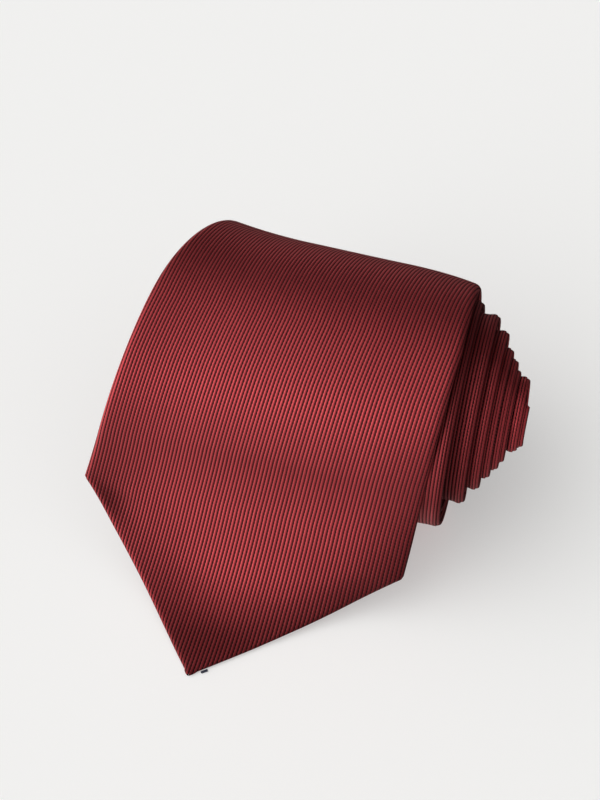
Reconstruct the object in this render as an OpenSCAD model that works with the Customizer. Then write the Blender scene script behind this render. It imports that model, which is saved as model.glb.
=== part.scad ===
// Rolled necktie. The strip is wound round the X axis, its pointed blade lies out in front (-Y),
// and the turns step out towards +X. The origin is on the resting face, under the roll's axis.

/* [Blade] */
// Width of the blade across its two shoulders
blade_w = 85; // [75:1:95]
// Length of the point, from the tip to the line between the shoulders
point_len = 40.4; // [38:0.2:44]
// Angle between the blade's centre line and a straight course round the roll
skew = 7.75; // [4:0.25:9]
// How much each edge closes in for each millimetre along the blade
edge_taper = 0.0665; // [0.05:0.0005:0.07]
// Width of the folded hem behind the point
hem_w = 12; // [10:1:14]
// Distance from the tip to the place where the two back flaps meet
flaps_meet = 130; // [110:5:150]

/* [Roll] */
// Outer radius of the roll
roll_r = 33.4; // [32:0.2:36]
// Slope of the blade where it leaves the roll, a multiple of the turn's step angle less half a step
lift = 82.5; // [67.5:15:82.5]
// Distance from the tip's place along the roll to the middle of the resting face
tip_back = 20; // [10:1:30]

/* [Strip] */
// Whole length of the necktie, from tip to tip
total_len = 1470; // [1400:5:1480]
// Thickness of the finished strip
strip_t = 1.2; // [1:0.05:1.25]
// Thickness of the shell cloth
shell_t = 0.28; // [0.2:0.01:0.3]
// Width of the narrow neck
neck_w = 36; // [34:1:38]
// Width of the tail at its shoulders
tail_w = 40; // [38:1:44]
// Distance from the tip to the seam between the blade panel and the neck panel
seam_1 = 760; // [740:5:780]
// Distance from the tip to the seam between the neck panel and the tail panel
seam_2 = 1010; // [1000:5:1060]

/* [Hidden] */

red = [0.56, 0.15, 0.17];
felt_grey = [0.86, 0.84, 0.79];
lining_navy = [0.07, 0.08, 0.14];
thread_red = [0.45, 0.1, 0.12];
label_black = [0.08, 0.08, 0.09];

deg = PI / 180;
step = 15;                // angle between two stations round the roll
edge_cut = 0.35;          // small chamfer along the folded edges
fold_gap = 0.04;          // room between the shell and the interlining
slit = 0.25;              // half the slit between the two back flaps
flex_gap = 0.3;           // gap across a line where the cloth bends
seam_gap = 0.8;           // gap between two panels, with the seam's thread in it
point_half = 20;          // length of the tail's point
rim = 0.4;                // distance of the interlining from the cloth's folds
on_back = 0.06;           // gap between the strip's back and what is sewn on it
loop_t = 0.44;            // thickness of the folded keeper loop
label_t = 0.2;            // thickness of the maker's label
facing_t = 0.16;          // thickness of the care label and of the tail's facing
keeper_half = 18;         // half the length of the loop, the labels, the facing and a bar tack, across the strip
maker_half = 22;
care_half = 9;
facing_half = 8;
tack_half = 2.5;
thread_t = 0.32;          // thickness and half the width of a bar tack
thread_half = 0.6;
thread_room = 0.03;       // gap between a thread and the cloth beside it
edge_steady = 100;        // place where the right-hand edge stops leaning out
straight_from = 138;      // end of the stretch that follows the blade's own taper
neck_from = 730;          // start of the narrow neck
neck_to = 1050;           // end of the narrow neck
tail_full = 1400;         // place where the tail reaches its full width

// The turns, from the outermost inwards: radius, shift of the turn's centre in Y and in Z,
// and the place of its right-hand edge along X.
turns = [
    [roll_r, 0, 0, 32.3], [29.4, -1.55, -1.25, 33.8], [26.9, -0.6, -0.5, 33.3], [24.4, 0.3, 0.2, 38.5],
    [22.5, 0.4, 0.3, 38], [20.5, 0.5, 0.4, 41.5], [18.6, 0.3, 0.25, 41], [16.8, 0.2, 0.15, 43.5],
    [14.3, 0.2, 0.15, 45.2], [12.1, 0.1, 0.1, 46.3], [9.6, 0.8, 0.65, 49], [7.7, 0.4, 0.3, 50.3],
    [6.1, 0.2, 0.15, 50.5], [4.6, 0.1, 0.1, 50.6], [3.2, 0, 0, 50.7]];

// A turn keeps its size over the front and the top, and steps in over the back and the underside.
steady_to = 133;          // winding angle at which a turn starts to step in
settled_at = 319;         // winding angle at which it has reached the next turn's size
lift_off = 268;           // the same start for the outermost turn, which first lies on its base

function ease(t) = t <= 0 ? 0 : t >= 1 ? 1 : t * t * (3 - 2 * t);
function mix(p, q, t) = p + (q - p) * t;
function turn_no(a) = floor((a + 360 - settled_at) / 360);
function side_level(a) = let (n = turn_no(a)) n + ease((a - 360 * n - steady_to) / (settled_at - steady_to));
function level(a) = turn_no(a) == 0 ? ease((a - lift_off) / (settled_at - lift_off)) : side_level(a);
function turn_value(l, column) = lookup(l, [for (i = [0 : len(turns) - 1]) [i, turns[i][column]]]);
function radius(a) = turn_value(level(a), 0);

// The free blade is an arc that starts flat on the table and meets the roll at the slope lift.
arc_r = (roll_r * (1 + cos(lift)) - strip_t) / (1 - cos(lift));
arc_len = arc_r * lift * deg;
tip_y = -(roll_r + arc_r) * sin(lift);
tip_x = -tip_back;

// Places of the two shoulders, along the strip and across it
right_s = point_len * cos(skew) - blade_w / 2 * sin(skew);
left_s = point_len * cos(skew) + blade_w / 2 * sin(skew);
right_x = tip_x + blade_w / 2 * cos(skew) + point_len * sin(skew);
left_x = tip_x - blade_w / 2 * cos(skew) + point_len * sin(skew);
right_slope = tan(skew - atan(edge_taper));
left_slope = tan(skew + atan(edge_taper));

function blade_right(s) = s < right_s ? mix(tip_x, right_x, s / right_s) : right_x + (s - right_s) * right_slope;
function blade_left(s) = s < left_s ? mix(tip_x, left_x, s / left_s) : left_x + (s - left_s) * left_slope;
straight_w = blade_right(edge_steady) - blade_left(straight_from);
function strip_w(s) = lookup(s, [[straight_from, straight_w], [neck_from, neck_w], [neck_to, neck_w],
    [tail_full, tail_w], [total_len, tail_w]]);
// How far each edge is drawn in at the tail's point
function point_in(s) = max(0, tail_w / 2 * (1 - (total_len - s) / point_half));

// A station holds y, z, the outward normal's y and z, the left and right edges, and the length so far.
function free_station(s) = let (q = lift * s / arc_len)
    [tip_y + arc_r * sin(q), strip_t + arc_r * (1 - cos(q)), -sin(q), cos(q), blade_left(s), blade_right(s), s];
function rolled_right(a, s) = a < settled_at
    ? mix(blade_right(min(s, edge_steady)), turns[1][3], ease((a - steady_to) / (settled_at - steady_to)))
    : turn_value(side_level(a), 3);
function rolled_station(a, s) =
    let (l = level(a), r = turn_value(l, 0), p = 90 + lift - a, right = rolled_right(a, s),
        left = s < straight_from ? blade_left(s) : right - strip_w(s),
        resting = a < settled_at && abs(p + 90) < step)
    [turn_value(l, 1) + r * cos(p), resting ? 0 : roll_r + turn_value(l, 2) + r * sin(p), cos(p), sin(p),
        left + point_in(s), right - point_in(s), s];

tip_s = 1.2;              // the point is cut off this far from its tip
hinge_s = 30;             // place of the line where the point bends
free_s = [tip_s, 4, 8, 13, 19, 25, hinge_s, right_s, 40, left_s, 50, 55];
function winding(a, s) = s + radius(a + step / 2) * step * deg;
rolled = [for (a = 0, s = arc_len; s < total_len - 1; s = winding(a, s), a = a + step) [a, s]];
path = concat([for (s = free_s) free_station(s)], [for (r = rolled) rolled_station(r[0], r[1])]);

roll_i = len(free_s);     // index of the station where the roll starts
hinge_i = search(hinge_s, free_s)[0];
end_i = len(path) - 1;
per_turn = 360 / step;
// The index at a given length along the strip, and the station at a whole or part index
function index_at(s) = lookup(s, [for (i = [0 : end_i]) [path[i][6], i]]);
function station(i) = let (k = min(floor(i), end_i - 1)) mix(path[k], path[k + 1], i - k);
function spans(i0, i1) = concat([i0], [for (i = [ceil(i0 + 0.001) : floor(i1 - 0.001)]) i], [i1]);
// The index that lies a given distance from another, along the strip
function shifted(i, d) = index_at(station(i)[6] + d);

function centre_x(p) = (p[4] + p[5]) / 2;
function half_w(p) = (p[5] - p[4]) / 2;
// Half the open width between the two back flaps
function flap_gap(p) = max(slit, min(half_w(p) - hem_w, (flaps_meet - p[6]) * 0.4));
// A point of a section, x along the roll and d below the strip's front face
function place(p, x, d) = [x, p[0] - d * p[2], p[1] - d * p[3]];

function shell_ring(p) = let (c = centre_x(p), g = flap_gap(p), l = p[4], r = p[5], t = shell_t,
        e = edge_cut, T = strip_t)
    [for (q = [[c + g, T], [r - e, T], [r, T - e], [r, e], [r - e, 0], [l + e, 0], [l, e], [l, T - e],
        [l + e, T], [c - g, T], [c - g, T - t], [l + t, T - t], [l + t, t], [r - t, t], [r - t, T - t],
        [c + g, T - t]]) place(p, q[0], q[1])];
function block_ring(p, x0, x1, d0, d1) =
    [for (q = [[x1, d1], [x1, d0], [x0, d0], [x0, d1]]) place(p, q[0], q[1])];

// A closed solid through a list of rings that all have the same number of points
module loft(rings) {
    n = len(rings[0]);
    m = len(rings);
    sides = [for (j = [0 : m - 2], i = [0 : n - 1])
        let (a = j * n + i, b = j * n + (i + 1) % n) each [[a, b, b + n], [a, b + n, a + n]]];
    polyhedron(points = [for (r = rings) each r], faces = concat(sides,
        n == 4 ? [[3, 2, 1, 0], [for (i = [0 : 3]) (m - 1) * n + i]] : shell_caps(0, false),
        n == 4 ? [] : shell_caps((m - 1) * n, true)));
}
// The C-shaped end of the shell, as one strip of four-sided faces
cap_pairs = [[0, 15], [1, 14], [2, 14], [3, 13], [4, 13], [5, 12], [6, 12], [7, 11], [8, 11], [9, 10]];
function shell_caps(base, last) = [for (i = [0 : len(cap_pairs) - 2])
    let (p = cap_pairs[i], q = cap_pairs[i + 1],
        f = p[1] == q[1] ? [p[0], q[0], q[1]] : [p[0], q[0], q[1], p[1]])
    [for (k = [0 : len(f) - 1]) base + f[last ? k : len(f) - 1 - k]]];

module shell(i0, i1) color(red) loft([for (i = spans(i0, i1)) shell_ring(station(i))]);
module band(i0, i1, side_l, side_r, d0, d1)
    loft([for (i = spans(i0, i1)) let (p = station(i)) block_ring(p, p[4] + side_l, p[5] - side_r, d0, d1)]);
module centred(i0, i1, half, d0, d1)
    loft([for (i = spans(i0, i1)) let (p = station(i), c = centre_x(p)) block_ring(p, c - half, c + half, d0, d1)]);

wrap_end = roll_i + per_turn - 1;
seam_1_i = round(index_at(seam_1)) + 0.5;
seam_2_i = round(index_at(seam_2)) + 0.5;
half_flex = flex_gap / 2;
half_seam = seam_gap / 2;

module shell_tip() shell(0, shifted(hinge_i, -half_flex));
module shell_blade() shell(shifted(hinge_i, half_flex), shifted(roll_i, -half_flex));
module shell_wrap() shell(shifted(roll_i, half_flex), shifted(wrap_end, -half_flex / 2));
module shell_coil() shell(shifted(wrap_end, half_flex / 2), shifted(seam_1_i, -half_seam));
module shell_neck() shell(shifted(seam_1_i, half_seam), shifted(seam_2_i, -half_seam));
module shell_tail() shell(shifted(seam_2_i, half_seam), end_i);

module interlining(i0, i1) color(felt_grey)
    band(i0, i1, shell_t + rim, shell_t + rim, shell_t + fold_gap, strip_t - shell_t - fold_gap);
module interlining_tip() interlining(index_at(6), shifted(hinge_i, -half_flex));
module interlining_blade() interlining(shifted(hinge_i, half_flex), shifted(roll_i, -half_flex));
module interlining_roll() interlining(shifted(roll_i, half_flex), shifted(seam_2_i, -half_seam));
module interlining_tail() interlining(shifted(seam_2_i, half_seam), index_at(total_len - 8));

// The tipping lies between the back flaps, level with them
module tipping(i0, i1) color(lining_navy) loft([for (i = spans(i0, i1))
    let (p = station(i), c = centre_x(p), g = flap_gap(p) - 0.1)
    block_ring(p, c - g, c + g, strip_t - shell_t + fold_gap / 2, strip_t - fold_gap)]);
module tipping_point() tipping(index_at(14), shifted(hinge_i, -half_flex));
module tipping_blade() tipping(shifted(hinge_i, half_flex), shifted(roll_i, -half_flex));
module tipping_roll() tipping(shifted(roll_i, half_flex), index_at(flaps_meet - 6));
// A flat piece sewn on the strip's back
module sewn_on(i0, i1, half, t) centred(i0, i1, half, strip_t + on_back, strip_t + on_back + t);
// The tail's tipping is a small facing laid on its back, just inside the point
module tipping_tail() color(lining_navy)
    sewn_on(index_at(total_len - 28), index_at(total_len - 12), facing_half, facing_t);

// What is sewn on the blade's back, one after the other round the outermost turn
module keeper_loop() color(red)
    sewn_on(roll_i + 15, roll_i + 16, keeper_half, loop_t);
module maker_label() color(label_black)
    sewn_on(roll_i + 12, roll_i + 14, maker_half, label_t);
module care_label() color(label_black)
    sewn_on(roll_i + 10, roll_i + 11, care_half, facing_t);

module bar_tack(i) color(thread_red)
    centred(shifted(i, -thread_half), shifted(i, thread_half), tack_half,
        strip_t + thread_room, strip_t + thread_room + thread_t);
module bar_tack_blade() bar_tack(round(index_at(flaps_meet)) + 0.5);
module bar_tack_tail() bar_tack(round(index_at(total_len - 60)) + 0.5);

// One long thread closes the back: it runs in the slit between the flaps
module slip_stitch(i0, i1) color(thread_red)
    centred(i0, i1, slit - 0.1, strip_t - shell_t + thread_room, strip_t - thread_room);
module slip_stitch_roll() slip_stitch(index_at(flaps_meet + 4), shifted(seam_2_i, -half_seam));
module slip_stitch_tail() slip_stitch(shifted(seam_2_i, half_seam), index_at(total_len - 65));

// The thread of a seam, in the gap between two panels
module neck_seam(i) color(thread_red) band(i, shifted(i, 0.2), 2, 2, thread_room, shell_t - thread_room);
module neck_seam_blade() neck_seam(shifted(seam_1_i, 0.1));
module neck_seam_tail() neck_seam(shifted(seam_2_i, 0.1));

// A short dark thread end that shows beside the tip of the blade
tack_x = 3.4;
tack_y = 0.9;
module point_tack() color(lining_navy)
    translate([tip_x + tack_x, tip_y + tack_y, 0]) rotate([0, 0, 36]) cube([1.8, 0.9, 0.45]);

shell_tip();
shell_blade();
shell_wrap();
shell_coil();
shell_neck();
shell_tail();
interlining_tip();
interlining_blade();
interlining_roll();
interlining_tail();
tipping_point();
tipping_blade();
tipping_roll();
tipping_tail();
keeper_loop();
maker_label();
care_label();
bar_tack_blade();
bar_tack_tail();
slip_stitch_roll();
slip_stitch_tail();
neck_seam_blade();
neck_seam_tail();
point_tack();
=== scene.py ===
import math

import bmesh
import bpy
import numpy as np
from mathutils import Matrix, Vector


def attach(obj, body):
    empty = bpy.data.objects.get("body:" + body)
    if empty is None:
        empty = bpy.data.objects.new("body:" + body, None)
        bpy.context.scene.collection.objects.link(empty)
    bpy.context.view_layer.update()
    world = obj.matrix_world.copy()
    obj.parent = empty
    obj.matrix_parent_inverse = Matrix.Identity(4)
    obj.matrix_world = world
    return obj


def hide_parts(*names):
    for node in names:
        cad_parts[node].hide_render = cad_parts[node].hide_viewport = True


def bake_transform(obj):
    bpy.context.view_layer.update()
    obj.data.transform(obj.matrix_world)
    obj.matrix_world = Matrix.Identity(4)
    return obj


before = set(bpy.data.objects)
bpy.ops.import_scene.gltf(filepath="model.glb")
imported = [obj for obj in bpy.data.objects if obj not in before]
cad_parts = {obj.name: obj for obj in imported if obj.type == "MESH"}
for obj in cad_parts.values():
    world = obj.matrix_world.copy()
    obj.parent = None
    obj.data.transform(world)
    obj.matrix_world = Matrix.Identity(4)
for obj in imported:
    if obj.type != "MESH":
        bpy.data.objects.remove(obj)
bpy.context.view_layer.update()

# ---------------------------------------------------------------- sizes, in mm, as in the part's source
MM = 0.001
BLADE_W = 85.0
POINT_LEN = 40.4
SKEW = math.radians(7.75)
EDGE_TAPER = 0.0665
ROLL_R = 33.4
LIFT = math.radians(82.5)
TIP_BACK = 20.0
TOTAL_LEN = 1470.0
STRIP_T = 1.2
NECK_W = 36.0
TAIL_W = 40.0
SEAM_1 = 760.0
SEAM_2 = 1010.0
FLAPS_MEET = 130.0
HEM_W = 12.0
# Winding angles: where a turn starts to step in, where it has done so, and the outermost turn's own start
STEADY_TO = 133.0
SETTLED_AT = 319.0
LIFT_OFF = 268.0
# Places along the strip where its edges change
EDGE_STEADY = 100.0
STRAIGHT_FROM = 138.0
NECK_FROM = 730.0
NECK_TO = 1050.0
TAIL_FULL = 1400.0
POINT_HALF = 20.0
# The turns from the outermost inwards: radius, centre's y and z from the roll's axis, right-hand edge.
# The visible turns' rows are rounded from a fit to their edges in the photograph.
TURNS = np.array([
    (ROLL_R, 0, 0, 32.3), (29.4, -1.55, -1.25, 33.8), (26.9, -0.6, -0.5, 33.3), (24.4, 0.3, 0.2, 38.5),
    (22.5, 0.4, 0.3, 38), (20.5, 0.5, 0.4, 41.5), (18.6, 0.3, 0.25, 41), (16.8, 0.2, 0.15, 43.5),
    (14.3, 0.2, 0.15, 45.2), (12.1, 0.1, 0.1, 46.3), (9.6, 0.8, 0.65, 49), (7.7, 0.4, 0.3, 50.3),
    (6.1, 0.2, 0.15, 50.5), (4.6, 0.1, 0.1, 50.6), (3.2, 0, 0, 50.7)])

# ---------------------------------------------------------------- soft shaping that only the visual model has
TIP_ROUND = 1.6
# The point lies flatter on the table than an even arc would, and further back
SETTLED_POINT = 44.0
SETTLED_BY = 1.9
SETTLED_BACK = 0.756
SETTLED_LEFT = 0.16
# A small dent beside the left corner
DENT_S = 41.0
DENT_IN = 5.0
DENT_R = 4.5
DENT_DEPTH = 1.1
# How far the two hems bow to the left, and how far the left edge is tucked in where it meets the roll
BOW_RIGHT = 1.5
BOW_LEFT = 2.4
LEFT_TUCK = 2.6
# Places along the strip, and how far the cloth moves there: down at the right hem, up at the left edge,
# up over the left part, and down at the right edge
DROOP = ([8, 16, 27, 45, 70, 95], [0, 0.4, 2.2, 2.3, 1.5, 0])
FLARE = ([2, 14, 28, 46, 70, 100, 139, 175, 220], [0, 1.0, 1.6, 1.7, 1.9, 1.9, 2.1, 1.6, 0])
RISE = ([85, 110, 139, 165, 210], [0, 0.6, 0.9, 0.7, 0])
SAG = ([95, 120, 139, 175, 215, 260], [0, 0.9, 1.9, 1.7, 0.8, 0])
DROOP_W = 15.0
FLARE_W = 22.0
SAG_W = 20.0
# The padded strip's thickness: more where it is free than where the turns press on it
THICKNESS = ([0, 6, 40, 200, 260], [1.1, 1.15, 2.0, 2.0, 1.25])
FLOOR_GAP = 0.02

ARC_R = (ROLL_R * (1 + math.cos(LIFT)) - STRIP_T) / (1 - math.cos(LIFT))
ARC_LEN = ARC_R * LIFT
TIP_Y = -(ROLL_R + ARC_R) * math.sin(LIFT)
TIP_X = -TIP_BACK
RIGHT_S = POINT_LEN * math.cos(SKEW) - BLADE_W / 2 * math.sin(SKEW)
LEFT_S = POINT_LEN * math.cos(SKEW) + BLADE_W / 2 * math.sin(SKEW)
RIGHT_X = TIP_X + BLADE_W / 2 * math.cos(SKEW) + POINT_LEN * math.sin(SKEW)
LEFT_X = TIP_X - BLADE_W / 2 * math.cos(SKEW) + POINT_LEN * math.sin(SKEW)
RIGHT_SLOPE = math.tan(SKEW - math.atan(EDGE_TAPER))
LEFT_SLOPE = math.tan(SKEW + math.atan(EDGE_TAPER))


# ---------------------------------------------------------------- the strip's course
def ease(t):
    t = np.clip(t, 0, 1)
    return t * t * (3 - 2 * t)


def side_level(a):
    n = np.floor((a + 360 - SETTLED_AT) / 360)
    return n + ease((a - 360 * n - STEADY_TO) / (SETTLED_AT - STEADY_TO))


def level(a):
    outer = ease((a - LIFT_OFF) / (SETTLED_AT - LIFT_OFF))
    return np.where(a < SETTLED_AT, outer, side_level(a))


def turn_value(lev, column):
    return np.interp(lev, np.arange(len(TURNS)), TURNS[:, column])


def edge_line(s, right):
    if right:
        return RIGHT_X + (s - RIGHT_S) * RIGHT_SLOPE
    return LEFT_X + (s - LEFT_S) * LEFT_SLOPE


def blade_right(s):
    return np.where(s < RIGHT_S, TIP_X + (RIGHT_X - TIP_X) * s / RIGHT_S, edge_line(s, True))


def blade_left(s):
    return np.where(s < LEFT_S, TIP_X + (LEFT_X - TIP_X) * s / LEFT_S, edge_line(s, False))


STRAIGHT_W = float(blade_right(EDGE_STEADY) - blade_left(STRAIGHT_FROM))


def strip_w(s):
    return np.interp(s, [STRAIGHT_FROM, NECK_FROM, NECK_TO, TAIL_FULL, TOTAL_LEN],
                     [STRAIGHT_W, NECK_W, NECK_W, TAIL_W, TAIL_W])


WIND = np.arange(0, 4200, 1.0)                     # winding angle, in degrees
_mid = turn_value(level(WIND + 0.5), 0) * math.radians(1)
WIND_S = ARC_LEN + np.concatenate([[0], np.cumsum(_mid)[:-1]])


def bow(s, corner, depth):
    """How far a hem bows to the left between the tip and its corner."""
    return depth * np.where(s < corner, s / corner * (1 - s / corner), 0)


class Course:
    """The strip's front face at places s along it: y, z, outward normal, left and right edge."""

    def __init__(self, s):
        self.s = s = np.asarray(s, float)
        a = np.interp(s, WIND_S, WIND)
        lev, free = level(a), s < ARC_LEN
        r, turned = turn_value(lev, 0), math.pi / 2 + LIFT - np.radians(a)
        q = LIFT * s / ARC_LEN
        self.y = np.where(free, TIP_Y + ARC_R * np.sin(q), turn_value(lev, 1) + r * np.cos(turned))
        self.z = np.where(free, STRIP_T + ARC_R * (1 - np.cos(q)),
                          ROLL_R + turn_value(lev, 2) + r * np.sin(turned))
        self.ny = np.where(free, -np.sin(q), np.cos(turned))
        self.nz = np.where(free, np.cos(q), np.sin(turned))
        settling = np.clip(s / SETTLED_POINT, 0, 1) * math.pi
        self.settled = SETTLED_BY * np.sin(settling) ** 2
        steeper = SETTLED_BY * math.pi / SETTLED_POINT * np.sin(2 * settling)
        self.y, self.z = self.y + SETTLED_BACK * self.settled, self.z - self.settled
        self.ny, self.nz = self.ny + steeper, self.nz + SETTLED_BACK * steeper
        length = np.hypot(self.ny, self.nz)
        self.ny, self.nz = self.ny / length, self.nz / length
        first = ease((a - STEADY_TO) / (SETTLED_AT - STEADY_TO))
        outer = blade_right(np.minimum(s, EDGE_STEADY)) * (1 - first) + TURNS[1, 3] * first
        right = np.where(a < SETTLED_AT, outer, turn_value(side_level(a), 3))
        right = np.where(free, blade_right(s), right)
        left = np.where(s < STRAIGHT_FROM, blade_left(s), right - strip_w(s))
        drawn = np.maximum(0, TAIL_W / 2 * (1 - (TOTAL_LEN - s) / POINT_HALF))
        left = left + LEFT_TUCK * ease((s - 100) / 40) * (1 - ease((s - 160) / 60))
        left = left + drawn - bow(s, LEFT_S, BOW_LEFT)
        right = right - drawn - bow(s, RIGHT_S, BOW_RIGHT)
        # the very tip is rounded
        full = np.sqrt(TIP_ROUND / np.clip(s, 0.05, TIP_ROUND))
        middle = (left + right) / 2
        self.left, self.right = middle + (left - middle) * full, middle + (right - middle) * full
        self.droop = np.interp(s, *DROOP)
        self.flare = np.interp(s, *FLARE)
        self.rise = np.interp(s, *RISE)
        self.sag = np.interp(s, *SAG)
        self.rib_line = np.where(s < RIGHT_S, edge_line(s, True), right)
        self.centre = (self.left + self.right) / 2
        self.half = (self.right - self.left) / 2

    def point(self, x, d):
        """x along the roll and d below the front face, both of one row per place or plain."""
        y, z, ny, nz = (v[:, None] for v in (self.y, self.z, self.ny, self.nz))
        x, d = np.broadcast_arrays(x, d)
        near_left = np.clip(1 - (x - self.left[:, None]) / FLARE_W, 0, 1) ** 2
        near_right = np.clip(1 - (self.right[:, None] - x) / SAG_W, 0, 1) ** 2
        at_hem = np.clip(1 - (self.right[:, None] - x) / DROOP_W, 0, 1) ** 2
        wide = ease((20 - x) / 45)
        from_dent = np.hypot((self.s - DENT_S)[:, None], x - self.left[:, None] - DENT_IN) / DENT_R
        d = d + DENT_DEPTH * np.exp(-from_dent ** 2)
        d = d + self.droop[:, None] * at_hem - self.flare[:, None] * near_left
        d = d - self.rise[:, None] * wide + self.sag[:, None] * near_right
        x = x - SETTLED_LEFT * self.settled[:, None]
        return np.stack([x, y - d * ny, np.maximum(z - d * nz, FLOOR_GAP)], axis=-1) * MM


def thickness(c):
    return np.interp(c.s, *THICKNESS)


# ---------------------------------------------------------------- mesh helpers
def grid_mesh(name, points, weave, material, close=False, shade=None):
    """A quad grid from points[row, column], with a UV map of cloth coordinates in millimetres."""
    rows, cols = points.shape[:2]
    i = np.arange(rows * cols).reshape(rows, cols)
    if close:
        i = np.concatenate([i, i[:, :1]], axis=1)
    faces = np.stack([i[:-1, :-1], i[:-1, 1:], i[1:, 1:], i[1:, :-1]], axis=-1).reshape(-1, 4)
    mesh = bpy.data.meshes.new(name)
    mesh.from_pydata(points.reshape(-1, 3).tolist(), [], faces.tolist())
    mesh.polygons.foreach_set("use_smooth", np.ones(len(faces), bool))
    uv = mesh.uv_layers.new(name="weave")
    loops = np.zeros(len(mesh.loops), np.int32)
    mesh.loops.foreach_get("vertex_index", loops)
    uv.data.foreach_set("uv", weave.reshape(-1, 2)[loops].astype(np.float32).ravel())
    # the material multiplies its colour by "shade", the painted shade and light, so a piece without one has 1
    # all over
    tone = np.ones(rows * cols) if shade is None else shade.ravel()
    mesh.attributes.new("shade", "FLOAT", "POINT").data.foreach_set("value", tone.astype(np.float32))
    mesh.update()
    piece = bpy.data.objects.new(name, mesh)
    bpy.context.scene.collection.objects.link(piece)
    mesh.materials.append(material)
    return piece


def flat_weave(x, c):
    """Plain cloth coordinates, for the pieces whose threads don't show."""
    return np.stack([x - c.rib_line[:, None], np.broadcast_to(c.s[:, None], x.shape)], axis=-1)


def rows_between(s0, s1, step):
    return np.linspace(s0, s1, max(2, int(math.ceil((s1 - s0) / step)) + 1))


# ---------------------------------------------------------------- materials
class Nodes:
    def __init__(self, name):
        self.material = bpy.data.materials.new(name)
        self.material.use_nodes = True
        self.tree = self.material.node_tree
        self.shader = self.tree.nodes["Principled BSDF"]

    def add(self, kind, inputs=(), **settings):
        node = self.tree.nodes.new(kind)
        for key, value in settings.items():
            setattr(node, key, value)
        for socket, value in dict(inputs).items():
            if isinstance(value, bpy.types.NodeSocket):
                self.tree.links.new(value, node.inputs[socket])
            else:
                node.inputs[socket].default_value = value
        return node

    def math(self, operation, *values, clamp=False):
        node = self.add("ShaderNodeMath", {i: v for i, v in enumerate(values)}, operation=operation)
        node.use_clamp = clamp
        return node.outputs[0]

    def smooth(self, value, low, high):
        node = self.add("ShaderNodeMapRange", {"Value": value, "From Min": low, "From Max": high},
                        interpolation_type="SMOOTHSTEP")
        return node.outputs["Result"]

    def mix(self, share, a, b):
        node = self.add("ShaderNodeMix", data_type="RGBA")
        for socket, value in zip((node.inputs[0], node.inputs[6], node.inputs[7]), (share, a, b)):
            if isinstance(value, bpy.types.NodeSocket):
                self.tree.links.new(value, socket)
            else:
                socket.default_value = value
        return node.outputs[2]

    def link(self, value, socket):
        self.tree.links.new(value, self.shader.inputs[socket])

    def set(self, **values):
        for socket, value in values.items():
            self.shader.inputs[socket.replace("_", " ")].default_value = value


def ribbed_satin(name, light, dark, groove):
    """Raised ribs of satin floats with a dark groove between each two, nicked where the weft crosses it."""
    n = Nodes(name)
    uv = n.add("ShaderNodeUVMap", uv_map="weave").outputs[0]
    parts = n.add("ShaderNodeSeparateXYZ", {0: uv})
    across, along = parts.outputs[0], parts.outputs[1]
    rib = n.math("DIVIDE", across, RIB_PITCH)
    number = n.math("FLOOR", rib)
    nick = n.math("SINE", n.math("ADD", n.math("MULTIPLY", along, 2 * math.pi / NICK_PITCH),
                                 n.math("MULTIPLY", rib, 2.3)))
    place = n.math("ABSOLUTE", n.math("SUBTRACT", n.math("FRACT", rib), 0.5))
    cut = n.smooth(n.math("ADD", place, n.math("MULTIPLY", nick, 0.05)), 0.25, 0.42)
    which = n.add("ShaderNodeTexWhiteNoise", {"W": number}, noise_dimensions="1D").outputs["Value"]
    stretched = n.add("ShaderNodeCombineXYZ", {0: n.math("MULTIPLY", across, 2.2),
                                               1: n.math("MULTIPLY", along, 0.5)}).outputs[0]
    slub = n.add("ShaderNodeTexNoise", {"Vector": stretched, "Scale": 1.0, "Detail": 3.0}).outputs[0]
    patchy = n.add("ShaderNodeTexNoise", {"Vector": uv, "Scale": 0.045, "Detail": 2.0}).outputs[0]
    tone = n.math("ADD", n.math("MULTIPLY", which, 0.25),
                  n.math("ADD", n.math("MULTIPLY", slub, 0.75), n.math("MULTIPLY", patchy, 0.3)))
    lit = n.mix(n.math("SUBTRACT", tone, 0.2, clamp=True), dark, light)
    # the colour is scaled by the painted shade and light held in the "shade" attribute
    shade = n.add("ShaderNodeAttribute", attribute_name="shade").outputs["Fac"]
    cloth = n.add("ShaderNodeVectorMath", {0: n.mix(cut, lit, groove), "Scale": shade}, operation="SCALE")
    n.link(cloth.outputs[0], "Base Color")
    crown = n.math("SUBTRACT", 1.0, n.math("POWER", n.math("MULTIPLY", place, 2.0), 2.0))
    floats = n.math("SINE", n.math("ADD", n.math("MULTIPLY", along, 2 * math.pi / 0.3),
                                   n.math("MULTIPLY", across, 2 * math.pi / 0.45)))
    height = n.math("ADD", n.math("MULTIPLY", crown, 0.13), n.math("MULTIPLY", floats, 0.006))
    bump = n.add("ShaderNodeBump", {"Strength": 1.0, "Distance": MM, "Height": height})
    n.link(bump.outputs[0], "Normal")
    n.link(n.math("ADD", n.math("MULTIPLY", slub, 0.12), n.math("ADD", 0.34, n.math("MULTIPLY", cut, 0.3))),
           "Roughness")
    n.set(Metallic=0.7, Specular_IOR_Level=0.3, Specular_Tint=(0.85, 0.5, 0.5, 1), Sheen_Weight=0.04,
          Sheen_Roughness=0.4, Sheen_Tint=(1.0, 0.5, 0.5, 1))
    return n.material


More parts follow.
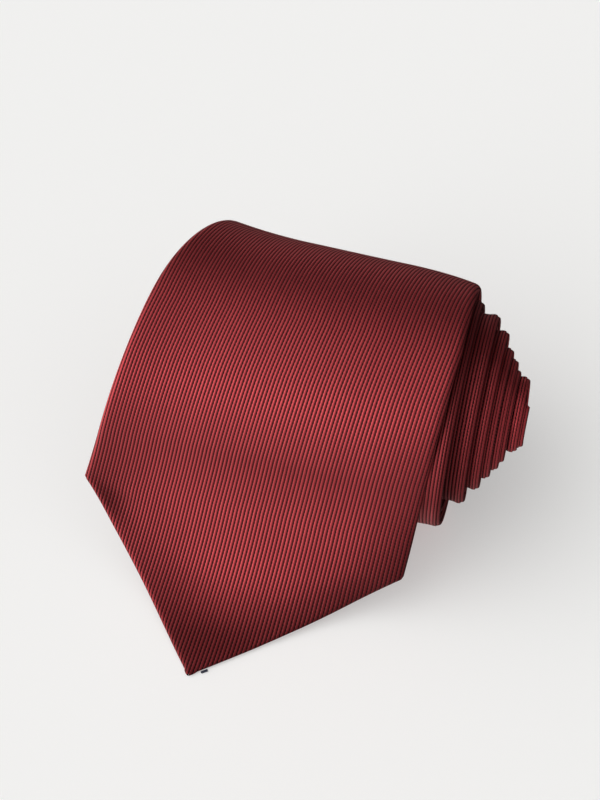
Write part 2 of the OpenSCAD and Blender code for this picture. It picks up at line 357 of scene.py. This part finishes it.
def smooth_lining(name, colour, rough=0.5):
    n = Nodes(name)
    uv = n.add("ShaderNodeUVMap", uv_map="weave").outputs[0]
    parts = n.add("ShaderNodeSeparateXYZ", {0: uv})
    warp = n.math("SINE", n.math("MULTIPLY", parts.outputs[0], 2 * math.pi / 0.3))
    weft = n.math("SINE", n.math("MULTIPLY", parts.outputs[1], 2 * math.pi / 0.3))
    both = n.math("MULTIPLY", warp, weft)
    noise = n.add("ShaderNodeTexNoise", {"Vector": uv, "Scale": 0.4, "Detail": 3.0}).outputs[0]
    tone = n.math("ADD", n.math("MULTIPLY", both, 0.15), noise, clamp=True)
    bright = tuple(min(1, v * 1.7 + 0.004) for v in colour[:3]) + (1,)
    n.link(n.mix(tone, colour, bright), "Base Color")
    n.link(n.add("ShaderNodeBump", {"Strength": 0.4, "Distance": MM,
                                    "Height": n.math("MULTIPLY", both, 0.02)}).outputs[0], "Normal")
    n.set(Roughness=rough)
    n.shader.inputs["Sheen Weight"].default_value = 0.2
    return n.material


RIB_PITCH = 0.96
NICK_PITCH = 0.9
SATIN = ribbed_satin("ribbed_satin", light=(0.45, 0.056, 0.062, 1), dark=(0.31, 0.034, 0.041, 1),
                     groove=(0.030, 0.011, 0.012, 1))
LINING = smooth_lining("dark_lining", (0.012, 0.013, 0.028, 1))
LABEL = smooth_lining("blank_label", (0.014, 0.014, 0.016, 1), 0.4)
COTTON = smooth_lining("red_thread", (0.20, 0.02, 0.026, 1), 0.6)
WOOL = smooth_lining("brushed_wool", (0.45, 0.43, 0.38, 1), 0.9)
DARK_THREAD = smooth_lining("navy_thread", (0.008, 0.010, 0.028, 1), 0.6)


# ---------------------------------------------------------------- the shell
RIB_DRIFT = ([0, 20, 45, 62, 85, 115, 139, 175, 230], [1.4, 0.6, 0, 0.3, 1.3, 3.8, 6.6, 9.0, 10.0])


def rib_place(x, c):
    """The cloth coordinate across the ribs. On the blade they close in towards its left side and up
    towards the roll, and drift to the right over the top; further on they follow the edge evenly."""
    drift = np.interp(c.s, *RIB_DRIFT)
    across = x - (c.rib_line + drift)[:, None]
    closing = 1 - 0.0009 * (np.clip(c.s, 0, 140) - 60)[:, None]
    spread = 0.0017 * (1 - ease((c.s - 200) / 60))[:, None] + 1e-6
    wide = 1 + 35 * spread
    return np.log(np.maximum(1 + spread * across / closing / wide, 0.1)) / spread


def hem_stretch(s, right):
    """How much longer a step across the folded edge is along X, where the edge runs on a slant."""
    corner, run = (RIGHT_S, RIGHT_X - TIP_X) if right else (LEFT_S, TIP_X - LEFT_X)
    slanted = math.hypot(corner, run) / corner
    return 1 + (slanted - 1) * (1 - ease((s - corner + 2) / 4))


def hem_distance(x, s, right):
    """How far inside the slanted hem a place on the flat strip is."""
    run, climb = (RIGHT_X - TIP_X, RIGHT_S) if right else (TIP_X - LEFT_X, LEFT_S)
    beside = (x - TIP_X) if right else (TIP_X - x)
    return (s * run - beside * climb) / math.hypot(run, climb)


# The painted shade: how much darker the cloth's colour is painted at each hem and in the dent, how far the
# hems' painted shade bands reach, the most that they take away together, and the painted shade and light by
# place along the strip
RIGHT_DARK = 0.5
RIGHT_REACH = 12.0
LEFT_DARK = 0.32
LEFT_REACH = 14.0
DENT_DARK = 0.35
HEMS_DARK_MAX = 0.5
# painted shade on the turns just inside the blade, and painted light on the inner turns towards the tail
PAINTED_SHADE_AND_LIGHT_ALONG = ([215, 265, 450, 1250], [1, 0.6, 0.6, 1.32])


def painted_shade_and_light(x, c):
    """Painted shade and light on the cloth's colour: painted shade along the hems and in the dent, darkest in
    the turn just inside the blade, and painted light towards the tail, where it is lighter again."""
    s = c.s[:, None]
    from_right = np.maximum(hem_distance(x, s, True), 0) / RIGHT_REACH
    from_left = np.maximum(hem_distance(x, s, False), 0) / LEFT_REACH
    at_hems = RIGHT_DARK * np.exp(-from_right ** 2) + LEFT_DARK * np.exp(-from_left ** 2)
    from_dent = ((s - DENT_S) ** 2 + (x - c.left[:, None] - DENT_IN) ** 2) / DENT_R ** 2
    at_dent = DENT_DARK * np.exp(-from_dent)
    on_blade = 1 - ease((s - 60) / 60)
    return (1 - np.minimum(at_hems, HEMS_DARK_MAX) * on_blade) * (1 - at_dent) * np.interp(s, *PAINTED_SHADE_AND_LIGHT_ALONG)


def flap_gap(c):
    return np.maximum(0.12, np.minimum(c.half - HEM_W * 1.3, (FLAPS_MEET - c.s) * 0.4))


FRONT_COLS = 48
FOLD_COLS = 9
FLAP_COLS = 10
EDGE_SOFT = 0.16
EDGE_REACH = 2.5
RIDGE = 0.36


def shell_grid(s):
    """The shell round the strip, from the left flap's edge over the front to the right one's:
    its points, cloth coordinates and painted shade and light."""
    c = Course(s)
    t = thickness(c)
    gap = flap_gap(c)
    sides = []
    for right in (False, True):
        sign = 1 if right else -1
        edge = c.right if right else c.left
        fold = np.minimum(0.75 * t, 0.8 * c.half) * hem_stretch(s, right)
        fold = np.minimum(fold, 0.9 * c.half)
        angle = np.linspace(math.pi / 2, -math.pi / 2, FOLD_COLS)
        x_fold = edge[:, None] - sign * fold[:, None] * (1 - np.cos(angle))
        d_fold = t[:, None] / 2 * (1 - np.sin(angle))
        inner = c.centre + sign * np.minimum(gap, c.half * 0.8)
        share = np.linspace(0, 1, FLAP_COLS + 1)[1:]
        x_flap = x_fold[:, -1:] + (inner[:, None] - x_fold[:, -1:]) * share
        d_flap = np.broadcast_to(t[:, None], x_flap.shape).copy()
        d_flap[:, -1] -= 0.4
        sides.append((x_fold, d_fold, x_flap, d_flap))
    (lf, ldf, ll, ldl), (rf, rdf, rl, rdl) = sides
    share = np.linspace(0, 1, FRONT_COLS + 2)[1:-1]
    share = 0.5 - 0.5 * np.cos(share * math.pi)
    x_front = lf[:, :1] + (rf[:, :1] - lf[:, :1]) * share
    near = np.minimum(x_front - c.left[:, None], c.right[:, None] - x_front)
    d_front = EDGE_SOFT * np.exp(-near / EDGE_REACH)
    # inside the roll each folded edge has a soft ridge along it
    ridge = RIDGE * np.exp(-((c.right[:, None] - x_front - 1.5) / 1.1) ** 2)
    d_front = d_front - ridge * ease((s - 230) / 30)[:, None]
    ldf = ldf + EDGE_SOFT * np.exp(-(lf - c.left[:, None]) / EDGE_REACH) * (1 - ldf / t[:, None])
    rdf = rdf + EDGE_SOFT * np.exp(-(c.right[:, None] - rf) / EDGE_REACH) * (1 - rdf / t[:, None])
    x = np.concatenate([ll[:, ::-1], lf[:, ::-1], x_front, rf, rl], axis=1)
    d = np.concatenate([ldl[:, ::-1], ldf[:, ::-1], d_front, rdf, rdl], axis=1)
    points = c.point(x, d)
    # cloth coordinate across: true along the front, then measured on round each fold
    first, last = FLAP_COLS + FOLD_COLS, FLAP_COLS + FOLD_COLS + FRONT_COLS - 1
    u = rib_place(x, c)
    step = np.hypot(np.diff(x, axis=1), np.diff(d, axis=1))
    u[:, last + 1:] = u[:, last:last + 1] + np.cumsum(step[:, last:], axis=1)
    u[:, :first] = u[:, first:first + 1] - np.cumsum(step[:, :first][:, ::-1], axis=1)[:, ::-1]
    v = np.broadcast_to(s[:, None], u.shape)
    return points, np.stack([u, v], axis=-1), painted_shade_and_light(x, c)


def shell_piece(name, stations):
    points, weave, shade = shell_grid(stations)
    return grid_mesh(name, points, weave, SATIN, shade=shade)


# Where one shell piece ends and the next begins, and where the rows get finer at the tail's point
POINT_END = 45.0
FOLD_END = 84.0
WRAP_END = 330.0
FINE_FROM = 1460.0
CORE_END = 1469.0
# Over half a turn the strip passes from the roll to the core that slides in it
TURN_FROM = float(np.interp(np.interp(SEAM_2, WIND_S, WIND) - 180, WIND, WIND_S))
TIP_ROWS = [0.08, 0.2, 0.4, 0.7, 1.0, 1.3, 1.6, 2.2]
tie_point = shell_piece("tie_point", np.concatenate([TIP_ROWS, rows_between(3, POINT_END, 1.0)]))
tie_bend = shell_piece("tie_bend", rows_between(POINT_END, FOLD_END, 1.0))
tie_wrap = shell_piece("tie_wrap", rows_between(FOLD_END, WRAP_END, 1.5))
tie_coil = shell_piece("tie_coil", rows_between(WRAP_END, TURN_FROM, 1.6))
tie_turn = shell_piece("tie_turn", rows_between(TURN_FROM, SEAM_2, 1.0))
tie_core = shell_piece("tie_core", np.concatenate([rows_between(SEAM_2, FINE_FROM, 1.0),
                                                   rows_between(FINE_FROM + 0.5, CORE_END, 0.5)]))


for piece, nodes in ((tie_point, ("shell_tip",)), (tie_bend, ("shell_blade",)),
                     (tie_wrap, ("shell_wrap",)), (tie_coil, ("shell_coil", "shell_neck")),
                     (tie_turn, ("shell_neck",)), (tie_core, ("shell_tail",))):
    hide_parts(*nodes)


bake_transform(tie_point)
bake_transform(tie_bend)
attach(tie_wrap, "roll")
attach(tie_coil, "roll")
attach(tie_core, "core")
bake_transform(tie_turn)


# ---------------------------------------------------------------- tipping, loop, labels, stitches
TIPPING_COLS = 13
TIPPING_IN = 0.35
TIPPING_UNDER_FLAP = 1.2
TIPPING_FROM = 12.0


def tipping(name, s0, s1, step):
    """The lining behind the blade, reaching a little way under the shell's flaps."""
    c = Course(rows_between(s0, s1, step))
    half = flap_gap(c) + TIPPING_UNDER_FLAP
    x = c.centre[:, None] + np.linspace(-1, 1, TIPPING_COLS) * half[:, None]
    points = c.point(x, thickness(c)[:, None] - TIPPING_IN)
    return grid_mesh(name, points, flat_weave(x, c), LINING)


lining_point = tipping("lining_point", TIPPING_FROM, POINT_END, 1.0)
lining_bend = tipping("lining_bend", POINT_END, FOLD_END, 1.0)
lining_wrap = tipping("lining_wrap", FOLD_END, FLAPS_MEET, 1.5)
for piece, node in ((lining_point, "tipping_point"), (lining_bend, "tipping_blade"),
                    (lining_wrap, "tipping_roll")):
    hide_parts(node)
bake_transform(lining_point)
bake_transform(lining_bend)
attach(lining_wrap, "roll")


THIN_END = 0.35


def slab(name, c, sides, depths, material, cols=17):
    """A closed flat piece along the strip, between two sides and two depths, with soft edges."""
    left, right = sides
    share = 0.5 - 0.5 * np.cos(np.linspace(0, math.pi, cols))
    x = left[:, None] + (right - left)[:, None] * np.concatenate([share, share[::-1]])
    rim = np.sin(np.linspace(0, math.pi, cols)) ** 0.25
    low, high = (np.broadcast_to(depth, c.s.shape) for depth in depths)
    mid, tall = (low + high)[:, None] / 2, (high - low)[:, None] / 2
    ends = np.ones(len(c.s))
    ends[[0, -1]] = THIN_END
    tall = tall * ends[:, None]
    d = mid + tall * np.concatenate([-rim, rim[::-1]])
    piece = grid_mesh(name, c.point(x, d), flat_weave(x, c), material, close=True)
    return capped(piece, len(c.s), 2 * cols)


def capped(piece, rows, cols):
    """Close the first and last ring of a tube-like grid with one face each."""
    bm = bmesh.new()
    bm.from_mesh(piece.data)
    bm.verts.ensure_lookup_table()
    for first, turn in ((0, 1), ((rows - 1) * cols, -1)):
        ring = [bm.verts[first + k] for k in range(cols)][::turn]
        bm.faces.new(ring)
    bmesh.ops.recalc_face_normals(bm, faces=bm.faces)
    bm.to_mesh(piece.data)
    bm.free()
    return piece


def part(piece, node, body):
    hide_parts(node)
    if body:
        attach(piece, body)
    return piece


PADDING_IN = 1.0
PADDING_TOP = 0.35
PADDING_OFF_BACK = 0.5
PADDING_FROM = 6.0
PADDING_TO = TOTAL_LEN - 24


def padding(name, s0, s1):
    c = Course(rows_between(s0, s1, 2.0))
    sides = c.left + PADDING_IN, c.right - PADDING_IN
    return slab(name, c, sides, (PADDING_TOP, thickness(c) - PADDING_OFF_BACK), WOOL)


padding_point = padding("padding_point", PADDING_FROM, POINT_END)
padding_bend = padding("padding_bend", POINT_END, FOLD_END)
padding_roll = padding("padding_roll", FOLD_END, TURN_FROM)
padding_turn = padding("padding_turn", TURN_FROM, SEAM_2 - 1)
padding_core = padding("padding_core", SEAM_2 + 1, PADDING_TO)
part(padding_point, "interlining_tip", None)
part(padding_bend, "interlining_blade", None)
part(padding_roll, "interlining_roll", "roll")
part(padding_turn, "interlining_roll", None)
part(padding_core, "interlining_tail", "core")
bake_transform(padding_point)
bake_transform(padding_bend)
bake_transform(padding_turn)
for piece, s0, s1, where in ((padding_point, PADDING_FROM, POINT_END, "tie_point"),
                             (padding_bend, POINT_END, FOLD_END, "tie_bend"),
                             (padding_roll, FOLD_END, TURN_FROM, "tie_wrap"),
                             (padding_turn, TURN_FROM, SEAM_2 - 1, "tie_turn"),
                             (padding_core, SEAM_2 + 1, PADDING_TO, "tie_core")):
    c = Course(np.linspace(s0, s1, 400))

# Everything sewn on the back: the outer turn is marked off in steps of 15 degrees, as in the part
TURN_STEP = math.radians(15) * ROLL_R
BACK_FACE = 2.06
TURNED_IN = 0.7


def outer_s(k):
    return ARC_LEN + k * TURN_STEP


def patch(name, s0, s1, step, half, depths, material, cols=25):
    """A closed flat piece along the middle of the strip."""
    c = Course(rows_between(s0, s1, step))
    return slab(name, c, (c.centre - half, c.centre + half), depths, material, cols)


keeper = part(patch("keeper_loop_band", outer_s(15) - TURNED_IN, outer_s(16) + TURNED_IN, 0.6, 18,
                    (BACK_FACE, 2.5), SATIN), "keeper_loop", "roll")
label = part(patch("blank_maker_label", outer_s(12), outer_s(14), 0.8, 22, (BACK_FACE, 2.26), LABEL),
             "maker_label", "roll")
care = part(patch("blank_care_label", outer_s(10) - TURNED_IN, outer_s(11) + TURNED_IN, 0.8, 9,
                  (BACK_FACE, 2.22), LABEL, 17), "care_label", "roll")

facing = part(patch("tail_facing", TOTAL_LEN - 28, TOTAL_LEN - 12, 0.8, 8, (1.3, 1.46), LINING, 17),
              "tipping_tail", "core")


STITCH_ROWS = 9
STITCH_COLS = 8


def back_depth(c):
    return thickness(c) - 0.1


def stitches(name, places, lean, length, radius):
    """Short threads that lie across the back's slit, each dipping into the cloth at both ends."""
    points, faces = [], []
    for s in places:
        c = Course([s - lean, s, s + lean])
        t = np.linspace(-1, 1, STITCH_ROWS)
        x = c.centre[1] + t * length / 2
        along = t * lean
        y, z, ny, nz = (np.interp(along, [-lean, 0, lean], v) for v in (c.y, c.z, c.ny, c.nz))
        d = back_depth(c)[1] - radius * 0.6 * (1 - t ** 4) + radius * 1.2 * t ** 4
        girth = radius * np.sqrt(np.clip(1 - t ** 8, 0.02, 1))
        base = len(points)
        for k in range(STITCH_ROWS):
            for a in np.linspace(0, 2 * math.pi, STITCH_COLS, endpoint=False):
                deep = d[k] + girth[k] * math.cos(a)
                off = girth[k] * math.sin(a)
                points.append((x[k] * MM, (y[k] - deep * ny[k] + off * nz[k]) * MM,
                               (z[k] - deep * nz[k] + off * -ny[k]) * MM))
        for k in range(STITCH_ROWS - 1):
            here, ahead = base + k * STITCH_COLS, base + (k + 1) * STITCH_COLS
            for a in range(STITCH_COLS):
                b = (a + 1) % STITCH_COLS
                faces.append((here + a, here + b, ahead + b, ahead + a))
        faces.append([base + a for a in range(STITCH_COLS)][::-1])
        faces.append([base + (STITCH_ROWS - 1) * STITCH_COLS + a for a in range(STITCH_COLS)])
    mesh = bpy.data.meshes.new(name)
    mesh.from_pydata(points, [], faces)
    mesh.polygons.foreach_set("use_smooth", np.ones(len(faces), bool))
    mesh.materials.append(COTTON)
    mesh.update()
    piece = bpy.data.objects.new(name, mesh)
    bpy.context.scene.collection.objects.link(piece)
    return piece


# Each kind of stitch: how far it leans along the strip, its length across it and the thread's radius
SLIP = (0.9, 1.1, 0.16)
TACK = (0.15, 5.0, 0.17)
SLIP_STEP = 6.0
BAR = np.arange(-0.9, 0.95, 0.3)
part(stitches("slip_stitches_roll", np.arange(FLAPS_MEET + 6, TURN_FROM, SLIP_STEP), *SLIP),
     "slip_stitch_roll", "roll")
turn_stitches = part(stitches("slip_stitches_turn", np.arange(TURN_FROM + 3, SEAM_2 - 2, SLIP_STEP), *SLIP),
                     "slip_stitch_roll", None)
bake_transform(turn_stitches)
part(stitches("slip_stitches_core", np.arange(SEAM_2 + 3, TOTAL_LEN - 65, SLIP_STEP), *SLIP),
     "slip_stitch_tail", "core")
part(stitches("bar_tack_front", FLAPS_MEET + BAR, *TACK), "bar_tack_blade", "roll")
part(stitches("bar_tack_end", TOTAL_LEN - 60 + BAR, *TACK), "bar_tack_tail", "core")
for name, s, node, body in (("panel_seam_roll", SEAM_1, "neck_seam_blade", "roll"),
                            ("panel_seam_core", SEAM_2 + 0.4, "neck_seam_tail", "core")):
    c = Course(rows_between(s - 0.25, s + 0.25, 0.1))
    part(slab(name, c, (c.left + 2, c.right - 2), (0.05, 0.25), COTTON, 41), node, body)

# The dark thread end beside the tip: three strands twisted together
STRANDS = 3
STRAND_ROWS = 40
STRAND_COLS = 8
STRAND_R = 0.17


def tack_strand(turn):
    t = np.linspace(0, 1, STRAND_ROWS)
    along, twist = 1.8 * t, 2 * math.pi * (1.6 * t + turn / STRANDS)
    beside = 0.45 + 0.2 * np.cos(twist)
    lean = math.radians(36)
    x = TIP_X + 3.2 + along * math.cos(lean) - beside * math.sin(lean)
    y = TIP_Y + 1.3 + along * math.sin(lean) + beside * math.cos(lean)
    z = 0.27 + 0.14 * np.sin(twist)
    return np.stack([x, y, z], axis=-1)


strands = []
for turn in range(STRANDS):
    line = tack_strand(turn)
    ahead = np.gradient(line, axis=0)
    ahead /= np.linalg.norm(ahead, axis=1)[:, None]
    beside = np.cross(ahead, [0, 0, 1.0])
    beside /= np.linalg.norm(beside, axis=1)[:, None]
    above = np.cross(beside, ahead)
    from_end = np.minimum(np.arange(STRAND_ROWS), np.arange(STRAND_ROWS - 1, -1, -1))
    girth = STRAND_R * np.clip(from_end / 3 + 0.35, 0, 1)
    a = np.linspace(0, 2 * math.pi, STRAND_COLS, endpoint=False)
    round_it = np.cos(a)[None, :, None] * beside[:, None] + np.sin(a)[None, :, None] * above[:, None]
    tube = line[:, None] + girth[:, None, None] * round_it
    weave = np.stack(np.broadcast_arrays(a[None, :] * 0.2, np.linspace(0, 3, STRAND_ROWS)[:, None]), axis=-1)
    strand = grid_mesh("tack_strand_%d" % turn, tube * MM, weave, DARK_THREAD, close=True)
    strands.append(capped(strand, STRAND_ROWS, STRAND_COLS))
tack = strands[0]
bm = bmesh.new()
for piece in strands:
    bm.from_mesh(piece.data)
bm.to_mesh(tack.data)
bm.free()
for piece in strands[1:]:
    bpy.data.objects.remove(piece)
tack.name = "tip_thread_end"
part(tack, "point_tack", "tip")

# ---------------------------------------------------------------- stage, light and camera
floor_mesh = bpy.data.meshes.new("floor")
FLOOR = 4.0
corners = [(-FLOOR, -FLOOR, 0), (FLOOR, -FLOOR, 0), (FLOOR, FLOOR, 0), (-FLOOR, FLOOR, 0)]
floor_mesh.from_pydata(corners, [], [(0, 1, 2, 3)])
floor = bpy.data.objects.new("floor", floor_mesh)
bpy.context.scene.collection.objects.link(floor)
paper = Nodes("paper")
paper.set(Base_Color=(0.58, 0.58, 0.576, 1), Roughness=0.7, Specular_IOR_Level=0.1,
          Emission_Color=(1.0, 0.995, 0.985, 1), Emission_Strength=0.38)
floor_mesh.materials.append(paper.material)
# The table's bounce on the cloth comes from the lower half of the sky, so that it can fall from one side
floor.visible_diffuse = floor.visible_glossy = False

world = bpy.data.worlds.new("studio")
bpy.context.scene.world = world
world.use_nodes = True
sky = world.node_tree
sky_dir = sky.nodes.new("ShaderNodeTexCoord")
sky_parts = sky.nodes.new("ShaderNodeSeparateXYZ")
sky.links.new(sky_dir.outputs["Generated"], sky_parts.inputs[0])


def sky_ramp(axis, start, end, low, high):
    """A soft step in the sky's brightness along one axis, from low at start to high at end."""
    node = sky.nodes.new("ShaderNodeMapRange")
    node.interpolation_type = "SMOOTHSTEP"
    for socket, value in (("From Min", start), ("From Max", end), ("To Min", low), ("To Max", high)):
        node.inputs[socket].default_value = value
    sky.links.new(sky_parts.outputs[axis], node.inputs["Value"])
    return node.outputs[0]


def sky_math(operation, a, b):
    node = sky.nodes.new("ShaderNodeMath")
    node.operation = operation
    sky.links.new(a, node.inputs[0])
    sky.links.new(b, node.inputs[1])
    return node.outputs[0]


# The room is bright low down in front, dark overhead and behind, and darker towards the right
in_front = sky_ramp(1, 0.63, -0.05, 0.30, 2.15)
low_down = sky_ramp(2, 0.45, 0.0, 0.0, 1.3)
above_table = sky_ramp(2, -0.5, -0.05, 0.22, 1.0)
left_side = sky_ramp(0, 0.1, -0.6, 0.15, 1.0)
room = sky_math("MAXIMUM", in_front, sky_math("MULTIPLY", low_down, above_table))
backdrop = sky.nodes["Background"]
backdrop.inputs[0].default_value = (1.0, 0.995, 0.985, 1)
sky.links.new(sky_math("MULTIPLY", room, left_side), backdrop.inputs[1])


def sun(name, azimuth, elevation, strength, angle, receivers):
    """A wide soft sun. Azimuth 0 is in front, and grows towards the right."""
    data = bpy.data.lights.new(name, "SUN")
    data.energy, data.angle = strength, math.radians(angle)
    light = bpy.data.objects.new(name, data)
    bpy.context.scene.collection.objects.link(light)
    a, e = math.radians(azimuth), math.radians(elevation)
    back = Vector((math.sin(a) * math.cos(e), -math.cos(a) * math.cos(e), math.sin(e)))
    light.rotation_euler = back.to_track_quat("Z", "Y").to_euler()
    chosen = bpy.data.collections.new(name + "_lights")
    for piece in receivers:
        chosen.objects.link(piece)
    light.light_linking.receiver_collection = chosen


# The key skims in low from the front left on to the cloth; the table has a high light of its own
cloth_pieces = [o for o in bpy.context.scene.objects if o.type == "MESH" and o != floor]
sun("key", -36, 20, 0.75, 40, cloth_pieces)
sun("table_light", -25, 72, 0.5, 100, [floor])

# The camera looks down from the front, a little from the right. Its values come from a fit to the photograph.
CAMERA_AT = Vector((0.06082, -0.33247, 0.46258))
AZIMUTH = math.radians(11.915)
ELEVATION = math.radians(52.302)
TILT = math.radians(1.842)
FOCAL = 95.1
SENSOR = 36.0
back = Vector((math.sin(AZIMUTH) * math.cos(ELEVATION), -math.cos(AZIMUTH) * math.cos(ELEVATION),
               math.sin(ELEVATION)))
side = (-back).cross(Vector((0, 0, 1))).normalized()
up = side.cross(-back)
side, up = math.cos(TILT) * side + math.sin(TILT) * up, math.cos(TILT) * up - math.sin(TILT) * side
lens = bpy.data.cameras.new("camera")
lens.lens, lens.sensor_width, lens.clip_start = FOCAL, SENSOR, 0.01
camera = bpy.data.objects.new("camera", lens)
bpy.context.scene.collection.objects.link(camera)
camera.matrix_world = Matrix.Translation(CAMERA_AT) @ Matrix((side, up, back)).transposed().to_4x4()
bpy.context.scene.camera = camera
bpy.context.scene.view_settings.view_transform = "Standard"
